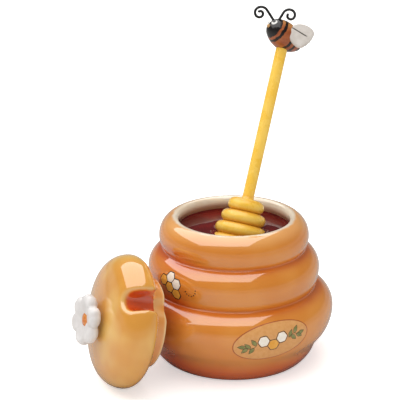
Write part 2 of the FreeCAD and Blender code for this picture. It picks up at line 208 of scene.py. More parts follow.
# Bee
bee_length = 22.6
bee_radius = 7.3
bee_head_radius = 6.0
bee_tail_radius = 3.0
bee_waist_x = 0.6
bee_brow_angle = 62.0
bee_hip_angle = 48.0
bee_pitch = 19.9
socket_depth = 5.0
eye_radius = 1.9
eye_spread = 22.0
eye_lift = 15.0
eye_rise = 0.7
nose_radius = 1.0
nose_drop = 12.0
wing_thickness = 2.0
wing_rounding = 0.8
wing_sweep = 61.0
wing_root = (2.0, 5.8, 3.8)
fore_lobe = (12.2, 7.4, 13.0)
hind_lobe = (11.8, 8.0, -31.0)
wing_line_angle = -1.0
wing_line_width = 0.4
feeler_root_spread = 29.4
feeler_root_lift = 41.0
feeler_facing = 61.0
feeler_tip = -12.6
curl_shrink = 0.77

# Bee, looks: black bands from face to tail along the body and the pupil; the wing's edge is filled by lobes
# between the fore and the hind one, and the feelers are thicker than the part's and shorter in the stalk
black_bands = ((7.2, 20.0), (4.4, 6.0), (-2.4, -0.7), (-6.0, -4.3), (-20.0, -8.9))
band_blur = 0.15
pupil_radius = 0.95
pupil_blur = 0.15
wing_lobes = 5
wing_voxel = 0.16
wing_smoothing = 5
wing_line_depth = 0.3
feeler_radius = 0.68
right_feeler = (6.85, 63.0, 3.6, 5)
left_feeler = (5.05, -1.5, 3.4, 4)

# Studio: the camera in millimetres, the lamp and the floor in metres, and how bright each light is
camera_lens = 143.35
camera_place = (-17.716, -778.597, 358.526)
camera_target = (-17.716, 0, 84.851)
lamp_place = (-0.34, 0.18, 0.85)
lamp_width = 1.3
lamp_length = 1.58
lamp_radiance = 1.62
room_light = 0.66
horizon_light = 0.32
ceiling_light = 0.1
floor_width = 6.0
floor_glow = 0.5


# ---- shapes

def arc(start, middle, end, steps):
    """Points on the circle through three points, worked out as complex numbers: the first is turned round the
    circle's centre, past the second to the third."""
    a, b, c = (complex(*point) for point in (start, middle, end))
    share = (c - a) / (b - a)
    centre = a + (b - a) * (share - abs(share) ** 2) / (2j * share.imag)
    to_middle, turn = (np.angle((point - centre) / (a - centre)) % math.tau for point in (b, c))
    if to_middle > turn:
        turn -= math.tau
    points = centre + (a - centre) * np.exp(1j * np.linspace(0, turn, steps))
    return np.stack([points.real, points.imag], 1)


def swell(widest, groove, steps=48):
    """Arc from a widest point, where the section stands upright, to a groove."""
    inset = widest[0] - groove[0]
    rise = groove[1] - widest[1]
    radius = (inset * inset + rise * rise) / (2 * inset)
    centre = widest[0] - radius
    angle = np.linspace(0, math.atan2(rise, groove[0] - centre), steps)
    return np.stack([centre + radius * np.cos(angle), widest[1] + radius * np.sin(angle)], 1)


def bulge(start, widest, end, steps=48):
    """Swell from one groove out to a widest point, and in to the next groove."""
    return run(swell(widest, start, steps)[::-1], swell(widest, end, steps))


def quarter(centre, reach, rise, steps=32):
    """Quarter ellipse from its side to its top: reach times the cosine, rise times the sine."""
    angle = np.linspace(0, math.pi / 2, steps)
    return np.stack([centre[0] + reach * np.cos(angle), centre[1] + rise * np.sin(angle)], 1)


def run(*stretches):
    """One section line of points and curves put end to end, without repeated points."""
    points = np.concatenate([np.atleast_2d(np.asarray(s, float)) for s in stretches])
    step = np.hypot(*np.diff(points, axis=0).T)
    return points[np.concatenate([[True], step > 1e-6])]


def lengths(line):
    """How far along a line each of its points lies."""
    return np.concatenate([[0], np.cumsum(np.hypot(*np.diff(line, axis=0).T))])


def eased(value):
    """Smooth step from 0 to 1: three squares less two cubes of the value."""
    value = np.clip(value, 0, 1)
    return value * value * (3 - 2 * value)


def bell(offset, spread):
    """Bell curve: e to the power of minus the square of the offset over the spread."""
    return np.exp(-(offset / spread) ** 2)


def evened(line, spacing, softness=0.0):
    """The same line with points evenly spaced along it, its corners rounded by averaging over a softness."""
    length = lengths(line)
    count = int(length[-1] / spacing) + 2
    along = np.linspace(0, length[-1], count)
    even = np.stack([np.interp(along, length, line[:, k]) for k in range(2)], 1)
    if softness:
        reach = max(1, int(3 * softness / spacing))
        weight = np.exp(-0.5 * (np.arange(-reach, reach + 1) * spacing / softness) ** 2)
        weight /= weight.sum()
        before = 2 * even[0] - even[reach:0:-1]
        after = 2 * even[-1] - even[-2:-reach - 2:-1]
        padded = np.concatenate([before, even, after])
        even = np.stack([np.convolve(padded[:, k], weight, "valid") for k in range(2)], 1)
        even[:, 0] = np.maximum(even[:, 0], 0)
    return even


def turned(line, steps=224):
    """Surface of revolution: each point of the line goes round the Z axis, radius times cosine and sine."""
    angle = np.linspace(0, math.tau, steps, endpoint=False)
    x = line[:, :1] * np.cos(angle)
    y = line[:, :1] * np.sin(angle)
    z = np.repeat(line[:, 1:], steps, axis=1)
    return np.stack([x, y, z], 2)


def pad(radius_x, radius_y, thickness, rounding, steps=72):
    """Rounded oval pad: a turned section with a flat top and rounded edge, stretched along its longer side."""
    half = thickness / 2
    side = min(radius_x, radius_y)
    angle = np.linspace(math.pi / 2, -math.pi / 2, 17)
    edge = np.stack([side - rounding + rounding * np.cos(angle),
                     np.sign(np.sin(angle)) * (half - rounding) + rounding * np.sin(angle)], 1)
    line = evened(run((0, half), edge, (0, -half)), 0.35)
    points = turned(line, steps)
    points[..., 0] *= radius_x / side
    points[..., 1] *= radius_y / side
    return points


def faces_of(rows, columns, start):
    """Quads of a grid of points that closes round along its columns; start is its first vertex's number."""
    a, b = np.meshgrid(np.arange(rows - 1), np.arange(columns), indexing="ij")
    b2 = (b + 1) % columns
    corners = [a * columns + b, a * columns + b2, (a + 1) * columns + b2, (a + 1) * columns + b]
    return start + np.stack(corners, 2).reshape(-1, 4)


def moved(points, matrix):
    """Points carried by a 4 x 4 matrix."""
    m = np.array(matrix)
    return points @ m[:3, :3].T + m[:3, 3]


def turn(degrees, axis):
    """Rotation matrix about an axis."""
    return Matrix.Rotation(math.radians(degrees), 4, axis)


def shift(x, y, z):
    """Translation matrix."""
    return Matrix.Translation((x, y, z))


def mesh_of(name, grids, closed=True, **marks):
    """Mesh in metres of grids given in millimetres: doubles merged, faces without area dropped and those of
    closed shells turned outwards. Each mark is a number for every point of the grids, which a material reads."""
    vertices, quads, start = [], [], 0
    for grid in grids:
        rows, columns = grid.shape[:2]
        vertices.append(grid.reshape(-1, 3))
        quads.append(faces_of(rows, columns, start))
        start += rows * columns
    mesh = bpy.data.meshes.new(name)
    mesh.from_pydata((np.concatenate(vertices) * MM).tolist(), [], np.concatenate(quads).tolist())
    for key, values in marks.items():
        mark(mesh, key, np.ravel(values))
    work = bmesh.new()
    work.from_mesh(mesh)
    bmesh.ops.remove_doubles(work, verts=work.verts, dist=1e-6)
    bmesh.ops.dissolve_degenerate(work, edges=work.edges, dist=1e-7)
    if closed:
        bmesh.ops.recalc_face_normals(work, faces=work.faces)
    work.to_mesh(mesh)
    work.free()
    return mesh


def points_of(mesh):
    """Vertex places of a mesh in millimetres, as an array."""
    flat = np.empty(len(mesh.vertices) * 3)
    mesh.vertices.foreach_get("co", flat)
    return flat.reshape(-1, 3) / MM


def set_points(mesh, points):
    """Puts vertex places in millimetres into a mesh."""
    mesh.vertices.foreach_set("co", (points * MM).ravel())
    mesh.update()


def carried(mesh, matrix):
    """The mesh with its points carried by a matrix in millimetres."""
    set_points(mesh, moved(points_of(mesh), matrix))
    return mesh


def mark(mesh, name, values):
    """Stores one number for each vertex, which a material reads."""
    layer = mesh.attributes.new(name, "FLOAT", "POINT")
    layer.data.foreach_set("value", np.asarray(values, np.float32))


def placed(name, data):
    """New object of a mesh, lamp or camera, in the scene."""
    made = bpy.data.objects.new(name, data)
    bpy.context.scene.collection.objects.link(made)
    return made


def show(mesh, name, material, node=None, crease=None):
    """Makes a finished piece of a mesh: shaded smooth, riding on the set and standing for a CAD node."""
    mesh.name = name
    mesh.materials.clear()
    mesh.materials.append(material)
    mesh.shade_smooth()
    if crease:
        mesh.set_sharp_from_angle(angle=math.radians(crease))
    piece = placed(name, mesh)
    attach(piece, "root")
    if node:
        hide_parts(node)


def worked(mesh, modifiers):
    """Mesh after modifiers, each given as its kind and settings."""
    helper = placed("helper", mesh)
    for kind, settings in modifiers:
        modifier = helper.modifiers.new(kind, kind)
        for key, value in settings.items():
            setattr(modifier, key, value)
    result = bpy.data.meshes.new_from_object(helper.evaluated_get(bpy.context.evaluated_depsgraph_get()))
    bpy.data.objects.remove(helper)
    return result


def soften(mesh, weight, rounds):
    """Rounds a mesh where a weight is set: each point goes half way to its neighbours' mean, many times."""
    count = len(mesh.vertices)
    ends = np.empty(len(mesh.edges) * 2, np.int32)
    mesh.edges.foreach_get("vertices", ends)
    a, b = ends.reshape(-1, 2).T
    points = points_of(mesh)
    valence = np.bincount(a, minlength=count) + np.bincount(b, minlength=count)
    share = 0.5 * weight[:, None]
    for _ in range(rounds):
        sums = [np.bincount(a, points[b, k], count) + np.bincount(b, points[a, k], count) for k in range(3)]
        points += share * (np.stack(sums, 1) / valence[:, None] - points)
    set_points(mesh, points)


def fused(grids, voxel, smoothing):
    """One skin round overlapping closed forms: a voxel remesh, then smoothing that rounds its corners."""
    remesh = ("REMESH", {"mode": "VOXEL", "voxel_size": voxel * MM})
    smooth = ("SMOOTH", {"factor": 0.5, "iterations": smoothing})
    return worked(mesh_of("fused", grids), [remesh, smooth])


# ---- materials

# The Mix node's colour sockets and settings, and how a Map Range node eases between its ends
FIRST, SECOND = 6, 7
MIX = {"output": 2, "data_type": "RGBA"}
EASED = {"interpolation_type": "SMOOTHSTEP"}


def linear(code):
    """Linear colour of an sRGB hex value."""
    channels = [int(code[k:k + 2], 16) / 255 for k in (1, 3, 5)]
    return [c / 12.92 if c <= 0.04045 else ((c + 0.055) / 1.055) ** 2.4 for c in channels] + [1.0]


def add(tree, kind, inputs=None, output=0, **settings):
    """Adds a shader node with its settings, links or sets its inputs, and gives one of its outputs."""
    made = tree.nodes.new("ShaderNode" + kind)
    for key, value in settings.items():
        setattr(made, key, value)
    for key, value in (inputs or {}).items():
        if isinstance(value, bpy.types.NodeSocket):
            tree.links.new(value, made.inputs[key])
        else:
            made.inputs[key].default_value = value
    return made.outputs[output]


def finish(name, **shader):
    """New material with one Principled shader, its plain numbers set on its own sockets, and its node tree."""
    material = bpy.data.materials.new(name)
    material.use_nodes = True
    tree = material.node_tree
    surface = tree.nodes["Principled BSDF"]
    for key, value in shader.items():
        surface.inputs[key.replace("_", " ")].default_value = value
    return material, tree


def grain(tree, size_mm, detail=2.0):
    """Noise whose blobs are about a size in millimetres."""
    place = add(tree, "TexCoord", output="Object")
    return add(tree, "TexNoise", {"Vector": place, "Scale": 1 / (size_mm * MM), "Detail": detail})


def clouds(tree, size_mm, low=0.0, high=1.0, detail=2.0, edge=0.3):
    """A number that drifts between two ends in soft blobs of about a size in millimetres."""
    ends = {"From Min": edge, "From Max": 1 - edge, "To Min": low, "To Max": high}
    return add(tree, "MapRange", {"Value": grain(tree, size_mm, detail), **ends}, **EASED)


def clouded(tree, size_mm, dark, light, **settings):
    """Two colours, given in hex, that drift into each other in such blobs."""
    share = clouds(tree, size_mm, **settings)
    return add(tree, "Mix", {"Factor": share, FIRST: linear(dark), SECOND: linear(light)}, **MIX)


def painted(tree, name, under, over):
    """A colour with another, given in hex, laid over it as thickly as a vertex number says."""
    share = add(tree, "Attribute", output="Fac", attribute_name=name)
    return add(tree, "Mix", {"Factor": share, FIRST: under, SECOND: linear(over)}, **MIX)


def dress(material, colour, roughness=None, waves=None):
    """Gives a material its colour and, where asked, cloudy roughness (blob size, low, high) and the gentle
    unevenness of a fired or brushed skin as bump (blob size, depth)."""
    tree = material.node_tree
    surface = tree.nodes["Principled BSDF"]
    tree.links.new(colour, surface.inputs["Base Color"])
    if roughness:
        tree.links.new(clouds(tree, *roughness), surface.inputs["Roughness"])
    if waves:
        size_mm, depth_mm = waves
        bump = add(tree, "Bump", {"Height": grain(tree, size_mm), "Distance": depth_mm * MM, "Strength": 1.0})
        tree.links.new(bump, surface.inputs["Normal"])
    return material


def amber_glaze(name, dark, light):
    """Amber glaze over earthenware, dipped and fired: deep and glassy, it breaks pale over sharp edges, where a
    highlight is painted in as well, and pools redder in the grooves and round the foot, with painted shade there
    too, and on the side by the leaning lid, where the red is painted shade; inside the mouth the lining is
    cream, with painted shade deeper down."""
    material, tree = finish(name, IOR=1.5, Coat_Weight=1.0, Coat_IOR=2.0, Coat_Roughness=0.03)
    body = clouded(tree, 26, dark, light, edge=0.35)
    # Over the body colour: red where glaze pools and shade is painted, pale where glaze thins and a highlight is
    # painted
    outside = painted(tree, "thin", painted(tree, "pool", body, "#D44F19"), "#F7DFA6")
    # Cream lining, darker further down inside the mouth with painted shade
    inside = painted(tree, "stain", clouded(tree, 9, "#E9D5BA", "#F1E2CB"), "#D0A27C")
    lining = add(tree, "Attribute", output="Fac", attribute_name="lining")
    ragged = add(tree, "Math", {0: lining, 1: clouds(tree, 5, -0.12, 0.12, edge=0.2)}, operation="ADD")
    share = add(tree, "MapRange", {"Value": ragged, "From Min": 0.2, "From Max": 0.8}, **EASED)
    colour = add(tree, "Mix", {"Factor": share, FIRST: outside, SECOND: inside}, **MIX)
    return dress(material, colour, roughness=(14, 0.1, 0.16), waves=(11, 0.05))


def dark_honey():
    """Thick dark honey: nearly black-red in depth, with a still, wet skin that mirrors the lights."""
    material, tree = finish("dark_honey", Roughness=0.05, IOR=1.36)
    return dress(material, clouded(tree, 14, "#4E0D0E", "#681512", detail=3.0), waves=(16, 0.12))


def yellow_glaze():
    """Yellow enamel: smooth and bright on the stick, with painted shade between the ridges and where the stick
    meets the head.
    """
    material, tree = finish("yellow_enamel", IOR=1.5, Coat_Weight=0.5, Coat_Roughness=0.1)
    colour = painted(tree, "groove", clouded(tree, 8, "#F8C440", "#FBCF5A"), "#DFA02C")
    return dress(material, colour, roughness=(4, 0.22, 0.34), waves=(3, 0.03))


def bee_enamel():
    """Hand-painted enamel of the bee's body: brown, with a painted highlight that makes its back paler, and
    black bands of brushed edges.
    """
    coat = {"Coat_Weight": 0.6, "Coat_Roughness": 0.08}
    material, tree = finish("bee_enamel", IOR=1.5, Roughness=0.28, **coat)
    # Painted highlight: the back is paler where the light from above falls
    back = add(tree, "Attribute", output="Fac", attribute_name="back")
    pale = add(tree, "MapRange", {"Value": back, "From Min": 0.1, "From Max": 0.85, "To Max": 0.75}, **EASED)
    brown = clouded(tree, 3, "#93461F", "#AB5D2E")
    colour = add(tree, "Mix", {"Factor": pale, FIRST: brown, SECOND: linear("#D39A55")}, **MIX)
    along = add(tree, "Attribute", output="Fac", attribute_name="along")
    place = add(tree, "Math", {0: along, 1: clouds(tree, 2.5, -0.35, 0.35, edge=0.2)}, operation="ADD")
    for band in black_bands:
        sides = []
        for side, end in enumerate(band):
            ends = {"From Min": end - band_blur, "From Max": end + band_blur, "To Min": side}
            sides.append(add(tree, "MapRange", {"Value": place, **ends, "To Max": 1 - side}, **EASED))
        share = add(tree, "Math", {0: sides[0], 1: sides[1]}, operation="MULTIPLY")
        colour = add(tree, "Mix", {"Factor": share, FIRST: colour, SECOND: linear("#17110F")}, **MIX)
    return dress(material, colour, waves=(2, 0.02))


def eye_enamel():
    """White enamel eye with a black pupil dot."""
    material, tree = finish("eye_enamel", IOR=1.5, Coat_Weight=0.8, Roughness=0.2)
    away = add(tree, "Attribute", output="Fac", attribute_name="pupil")
    ends = {"From Min": pupil_radius, "From Max": pupil_radius + pupil_blur, "To Min": 1.0, "To Max": 0.0}
    dot = add(tree, "MapRange", {"Value": away, **ends}, **EASED)
    white = clouded(tree, 1.5, "#F2F0EA", "#FBFAF6")
    colour = add(tree, "Mix", {"Factor": dot, FIRST: white, SECOND: linear("#0C0B0B")}, **MIX)
    return dress(material, colour)


def plain_enamel(name, dark, light, roughness, blob_mm, depth_mm):
    """Painted enamel of one colour with a slight cloudiness and brushed unevenness."""
    material, tree = finish(name, IOR=1.5, Coat_Weight=0.4, Coat_Roughness=0.12)
    colour = clouded(tree, blob_mm, dark, light, detail=3.0)
    return dress(material, colour, roughness=(blob_mm / 2, *roughness), waves=(blob_mm, depth_mm))


def wing_enamel():
    """Off-white enamel of the wings, with dark paint left in the cut line."""
    material, tree = finish("wing_enamel", IOR=1.5, Coat_Weight=0.3, Roughness=0.35)
    colour = painted(tree, "line", clouded(tree, 5, "#C4BBB1", "#D3CBC3", detail=3.0), "#4A423C")
    return dress(material, colour, waves=(3, 0.03))


# ---- pot and honey

def cavity_line(top):
    """Section of the room inside the pot, from the middle of its floor up to a height."""
    inner = [(p[0] - wall, p[1]) for p in (foot_groove, low_tier, low_groove, high_tier, high_groove)]
    corner = foot_groove[1] - floor_thickness
    diagonal = math.sqrt(0.5)
    bend = (inner[0][0] - corner * (1 - diagonal), foot_groove[1] - corner * diagonal)
    lip = (mouth_radius, pot_height - lip_drop)
    share = (top - inner[4][1]) / (lip[1] - inner[4][1])
    end = (inner[4][0] + share * (lip[0] - inner[4][0]), top)
    return run((0, floor_thickness), arc((inner[0][0] - corner, floor_thickness), bend, inner[0], 12),
               bulge(*inner[:3]), bulge(*inner[2:]), end)


def outer_line():
    """Section of the pot's outside from the middle of the foot to the crest of the ring."""
    recess = foot_radius - foot_ring_width
    return run((0, foot_recess), (recess - foot_recess, foot_recess), (recess, 0), (foot_radius, 0),
               arc((foot_radius, 0), foot_swell, foot_groove, 20),
               bulge(foot_groove, low_tier, low_groove), bulge(low_groove, high_tier, high_groove),
               swell(ring, high_groove)[::-1],
               quarter((crest_radius, ring[1]), ring[0] - crest_radius, pot_height - ring[1]))


def pool_at(height, azimuth):
    """Pooled glaze and painted shade: bells round the grooves, more at the foot, and painted shade on the lid's
    side.
    """
    top, span, share = foot_pool
    pool = share * eased((top - height) / span)
    for centre, spread, share in groove_pools:
        pool = np.maximum(pool, share * bell(height - centre, spread))
    heights, depths = np.array(shaded_side_depths).T
    from_middle = np.abs((azimuth - shaded_side_azimuth + 180) % 360 - 180)
    # Painted shade on the side where the lid leans over the pot
    side = eased((shaded_side_reach - from_middle) / shaded_side_fade) * np.interp(height, heights, depths)
    return 1 - (1 - pool) * (1 - side)


def pot():
    """The pot: its outer and inner section lines in one closed line, turned about the axis."""
    crest = quarter((crest_radius, pot_height - lip_drop), mouth_radius - crest_radius, lip_drop)[::-1]
    section = run(outer_line(), crest, cavity_line(pot_height - lip_drop)[::-1])
    sharp = evened(section, section_spacing, section_softness)
    soft = evened(section, section_spacing, foot_softness)
    along = lengths(sharp)
    past_crest = along - along[np.argmax(sharp[:, 1])]
    outside = past_crest < 0
    at_foot = eased(1.6 - np.abs(sharp[:, 1] - foot_groove[1]) / 4.0) * outside
    grid = turned(sharp + at_foot[:, None] * (soft - sharp))
    height = grid[..., 2]
    azimuth = np.degrees(np.arctan2(grid[..., 1], grid[..., 0]))
    columns = np.ones((1, grid.shape[1]))
    # Past the crest the lining comes in, with painted shade further down inside it
    lining, stain = (eased((past_crest - start) / span) for start, span in (lining_start, stain_start))
    # The crest gets paler thin glaze with a painted highlight
    rim_start, rim_span = pale_rim_and_highlight_start
    return mesh_of("pot", [grid], lining=lining[:, None] * columns, stain=stain[:, None] * columns,
                   pool=pool_at(height, azimuth) * outside[:, None],
                   thin=pale_rim_and_highlight_share * eased((height - rim_start) / rim_span))


# ---- prints under the glaze

def on_pot(azimuth, height, layout, lift):
    """A flat layout in millimetres wrapped on the pot: across goes round it, up goes along its section line.
    The layout's third number is how much of the lift each point has."""
    lift = lift * layout[..., 2]
    line = outer_line()[4:]
    length = lengths(line)
    middle = np.interp(height, line[:, 1], length)
    at = middle + layout[..., 1]
    radius = np.interp(at, length, line[:, 0])
    z = np.interp(at, length, line[:, 1])
    ahead = np.stack([np.interp(at + 0.2, length, line[:, k]) - np.interp(at - 0.2, length, line[:, k])
                      for k in range(2)], -1)
    ahead /= np.linalg.norm(ahead, axis=-1, keepdims=True)
    radius = radius + ahead[..., 1] * lift
    z = z - ahead[..., 0] * lift
    angle = math.radians(azimuth) + layout[..., 0] / np.interp(height, line[:, 1], line[:, 0])
    return np.stack([radius * np.cos(angle), radius * np.sin(angle), z], -1)


def filled(outline, rings=10):
    """Layout of a filled shape: its outline drawn in towards its middle; rows run from the middle out to an
    edge that has no lift."""
    middle = outline.mean(0)
    share = np.linspace(0, 1, rings)[:, None, None]
    lift = np.repeat(share < 1, len(outline), 1)
    return np.concatenate([middle + share * (outline - middle), lift], 2)


def stroke(path, width, closed=False):
    """Layout of a drawn line: right edge, lifted ridge and left edge. A closed line has these as its rows. An
    open one has them as columns, with an underside, and its ends come down to the pot."""
    if closed:
        path = np.concatenate([path, path[:1]])
        ahead = np.gradient(np.concatenate([path[-2:-1], path, path[1:2]]), axis=0)[1:-1]
    else:
        ahead = np.gradient(path, axis=0)
    ahead /= np.linalg.norm(ahead, axis=1)[:, None]
    side = np.stack([-ahead[:, 1], ahead[:, 0]], 1) * width / 2
    lift = np.zeros((3, len(path), 1))
    lift[1] = 1.0
    rows = np.concatenate([np.stack([path - side, path, path + side]), lift], 2)
    if closed:
        return rows
    rows[1, [0, -1], 2] = 0.0
    return rows[::-1].transpose(1, 0, 2)


def tilted(layout, degrees, place=(0, 0)):
    """A layout turned in its own plane and put at a place."""
    a = math.radians(degrees)
    flat = layout[..., :2] @ np.array([[math.cos(a), math.sin(a)], [-math.sin(a), math.cos(a)]]) + place
    return np.concatenate([flat, layout[..., 2:]], -1)


def oval(half_width, half_height, steps=96):
    """Ellipse as a layout, clockwise."""
    angle = -np.linspace(0, math.tau, steps, endpoint=False)
    return np.stack([half_width * np.cos(angle), half_height * np.sin(angle)], 1)


def cell(size, steps=6):
    """Comb cell: a hexagon with points along each side and slightly rounded corners, clockwise."""
    angle = -np.arange(7) * math.pi / 3
    corners = size * np.stack([np.cos(angle), np.sin(angle)], 1)
    share = np.linspace(0, 1, steps, endpoint=False)[:, None]
    sides = np.concatenate([a + share * (b - a) for a, b in zip(corners[:-1], corners[1:])])
    return 0.25 * np.roll(sides, 1, 0) + 0.5 * sides + 0.25 * np.roll(sides, -1, 0)


def leaf(length, width, steps=24):
    """Pointed leaf from the origin along X: its half width is a sine raised towards the stalk, clockwise."""
    share = np.linspace(0, 1, steps)
    half = width / 2 * np.sin(math.pi * share ** 0.8)
    upper = np.stack([length * share, half], 1)
    return np.concatenate([upper, (upper * [1, -1])[-2:0:-1]])


def prints():
    """Layouts of the badge on the low tier and the comb on the high tier, by colour."""
    made = {"field": [], "line": [], "cream": [], "amber": [], "leaf": [], "border": []}
    badge = (badge_azimuth, badge_height, badge_tilt)
    comb = (comb_azimuth, comb_height, 0.0)

    def put(kind, spot, layout, lift, place=(0, 0), angle=0.0):
        azimuth, height, tilt = spot
        made[kind].append(on_pot(azimuth, height, tilted(tilted(layout, angle, place), tilt), lift))

    def put_cell(kind, spot, size, place):
        put(kind, spot, filled(cell(size * cell_fill)), 0.08, place)
        put("line", spot, stroke(cell(size), stroke_width, True), 0.14, place)

    half_width, half_height = badge_width / 2, badge_width / 2 * badge_aspect
    put("field", badge, filled(oval(half_width, half_height), 24), 0.05)
    put("border", badge, stroke(oval(half_width, half_height, 128), stroke_width, True), 0.1)
    for index in (-1, 0, 1):
        place = (1.5 * badge_cell * index, badge_cell * math.sqrt(3) / 4 * (1 if index else -1))
        put_cell("cream" if index else "amber", badge, badge_cell, place)
    for side in (-1, 1):
        bow = np.linspace(0, 1, 20)
        along = stem_start + stem_length * bow
        stem = side * np.stack([along, stem_bow * np.sin(math.pi * bow)], 1)
        put("line", badge, stroke(stem, stroke_width * 0.8), 0.1)
        for share, lean in stem_leaves:
            root = tuple(stem[int(share * 19)])
            facing = lean if side > 0 else 180 - lean
            shape = leaf(leaf_length, leaf_width)
            put("leaf", badge, filled(shape, 6), 0.08, root, facing)
            put("line", badge, stroke(shape, stroke_width * 0.6, True), 0.12, root, facing)
    for across, up, kind in comb_cells:
        put_cell(kind, comb, comb_cell, (comb_cell * (across - 1.5), comb_cell * math.sqrt(3) / 2 * up))
    for angle in np.radians(dot_angles):
        place = (comb_cell * 4.4 + dot_trail_radius * math.cos(angle),
                 dot_trail_radius * math.sin(angle) - dot_trail_drop)
        put("line", comb, filled(oval(dot_radius, dot_radius, 12), 3), 0.1, place)
    return made


def dipper_matrix():
    """Placement of the dipper: it leans in the honey, its head's top a set length above the level."""
    turning = turn(dipper_heading, "Z") @ turn(dipper_lean, "Y") @ turn(dipper_spin, "Z")
    axis = turning.to_3x3() @ Vector((0, 0, 1))
    return shift(*(Vector((dipper_x, dipper_y, honey_level)) + axis * head_above_honey)) @ turning


def head_line():
    """Section of the dipper's ridged head from its top down: bulges between grooves. A ridge's radius falls by
    a step times a power of how many ridges it is from the middle."""
    index = np.arange(ridge_count)
    radii = widest_ridge_radius - ridge_step * np.abs(index - (ridge_count - 1) / 2) ** ridge_power
    grooves = [head_end_radius, *(np.minimum(radii[:-1], radii[1:]) - ridge_depth), head_end_radius]
    stretches = [(head_end_radius, 0)]
    for k in index:
        tip = (radii[k], -(k + 0.5) * ridge_pitch)
        upper, lower = ((grooves[k + n], -(k + n) * ridge_pitch) for n in (0, 1))
        stretches.append(bulge(upper, tip, lower, 24))
    return run(*stretches, (0, -ridge_count * ridge_pitch))


def honey():
    """Honey in the room of the pot; its top rises by a falling power of e near the wall and the dipper."""
    wall_line = cavity_line(honey_level)
    wall_line[:, 0] += 0.25 * (wall_line[:, 1] > floor_thickness + 1)
    edge = wall_line[-1, 0]
    rings = 110
    top = np.stack([edge * (1 - np.linspace(0, 1, rings) ** 1.3), np.full(rings, honey_level)], 1)
    points = turned(run(evened(wall_line, 1.6), top), 200)
    flat = points[-rings:]
    radius = np.hypot(flat[..., 0], flat[..., 1])
    axis = np.array(dipper_matrix().to_3x3() @ Vector((0, 0, 1)))
    away = flat - np.array([dipper_x, dipper_y, honey_level])
    along = away @ axis
    off_axis = np.linalg.norm(away - along[..., None] * axis, axis=2)
    head = head_line()[::-1]
    reach = off_axis - np.interp(along - head_above_honey, head[:, 1], head[:, 0])
    creep = np.exp(-(edge - radius) / creep_at_wall) + np.exp(-np.clip(reach, 0, None) / creep_at_dipper)
    flat[..., 2] += creep_height * (creep - math.exp(-edge / creep_at_wall))
    return mesh_of("honey", [points])


def dipper():
    """The dipper: stick and ridged head turned as one line, carried to its place."""
    head = evened(head_line(), 0.3, 0.35)
    stick = evened(run((0, stick_length), (stick_radius, stick_length), (stick_radius, 1.6),
                       arc((stick_radius, 1.6), (stick_radius + 0.4, 0.5), (head_end_radius, 0), 8)), 0.9)
    mesh = mesh_of("dipper", [turned(run(stick, head[1:]), 96)])
    points = points_of(mesh)
    radius = np.hypot(points[:, 0], points[:, 1])
    below = -points[:, 2] / ridge_pitch
    phase = 0.5 - 0.5 * np.cos(math.tau * (below - 0.5))
    # Painted shade between the ridges, and a little where the stick meets the head
    groove = np.where(points[:, 2] < -0.5, phase ** 2 * (radius > stick_radius), 0.35 * (points[:, 2] < 2))
    mark(mesh, "groove", np.clip(groove, 0, 1))
    return carried(mesh, dipper_matrix())


# ---- bee

def bee_matrix():
    """Placement of the bee on the stick: X to its face, Y to its left, Z to its back."""
    return dipper_matrix() @ shift(0, 0, stick_length - socket_depth + bee_radius) @ turn(-bee_pitch, "Y")


def body_line():
    """Section of the bee's body along its X axis, face to tail, as radius and place: an arc of the head, swells
    to and from the widest line, and an arc of the tail."""
    def cap(radius, end, angle):
        return np.stack([radius * np.sin(angle), end * (bee_length / 2 - radius + radius * np.cos(angle))], 1)

    brow = cap(bee_head_radius, 1, np.linspace(0, math.radians(bee_brow_angle), 24))
    hip = cap(bee_tail_radius, -1, np.linspace(math.radians(bee_hip_angle), 0, 24))
    return run(brow, bulge(brow[-1], (bee_radius, bee_waist_x), hip[0]), hip)


def bee_body():
    """Egg-shaped body turned about the bee's own X axis."""
    mesh = mesh_of("bee_body", [turned(evened(body_line(), 0.3, 0.3), 96)])
    points = points_of(mesh)
    mark(mesh, "along", points[:, 2])
    # How far round towards its back a point lies, which the painted highlight reads
    mark(mesh, "back", -points[:, 0] / bee_radius)
    return carried(mesh, bee_matrix() @ turn(90, "Y"))


def head_spot(spread, lift, distance):
    """Point at a distance from the head's middle, turned to the left and up from straight ahead."""
    side, up = math.radians(spread), math.radians(lift)
    middle = bee_length / 2 - bee_head_radius
    return Vector((middle + distance * math.cos(up) * math.cos(side),
                   distance * math.cos(up) * math.sin(side), distance * math.sin(up)))


def ball(radius, steps=48):
    """Sphere: a half circle turned about the axis."""
    angle = np.linspace(math.pi / 2, -math.pi / 2, steps // 2)
    return turned(np.stack([radius * np.cos(angle), radius * np.sin(angle)], 1), steps)


def bee_eye(side):
    """Low round eye; its pupil looks ahead and a little up."""
    spot = head_spot(side * eye_spread, eye_lift, bee_head_radius + eye_rise - eye_radius)
    mesh = mesh_of("eye", [ball(eye_radius)])
    look = np.array(head_spot(side * (eye_spread + 2), eye_lift + 3, 1.0) - head_spot(0, 0, 0))
    tip = look / np.linalg.norm(look) * eye_radius
    mark(mesh, "pupil", np.linalg.norm(points_of(mesh) - tip, axis=1))
    return carried(mesh, bee_matrix() @ shift(*spot))


def bee_nose():
    """Small ball nose."""
    spot = head_spot(0, -nose_drop, bee_head_radius)
    return mesh_of("nose", [moved(ball(nose_radius, 40), bee_matrix() @ shift(*spot))])


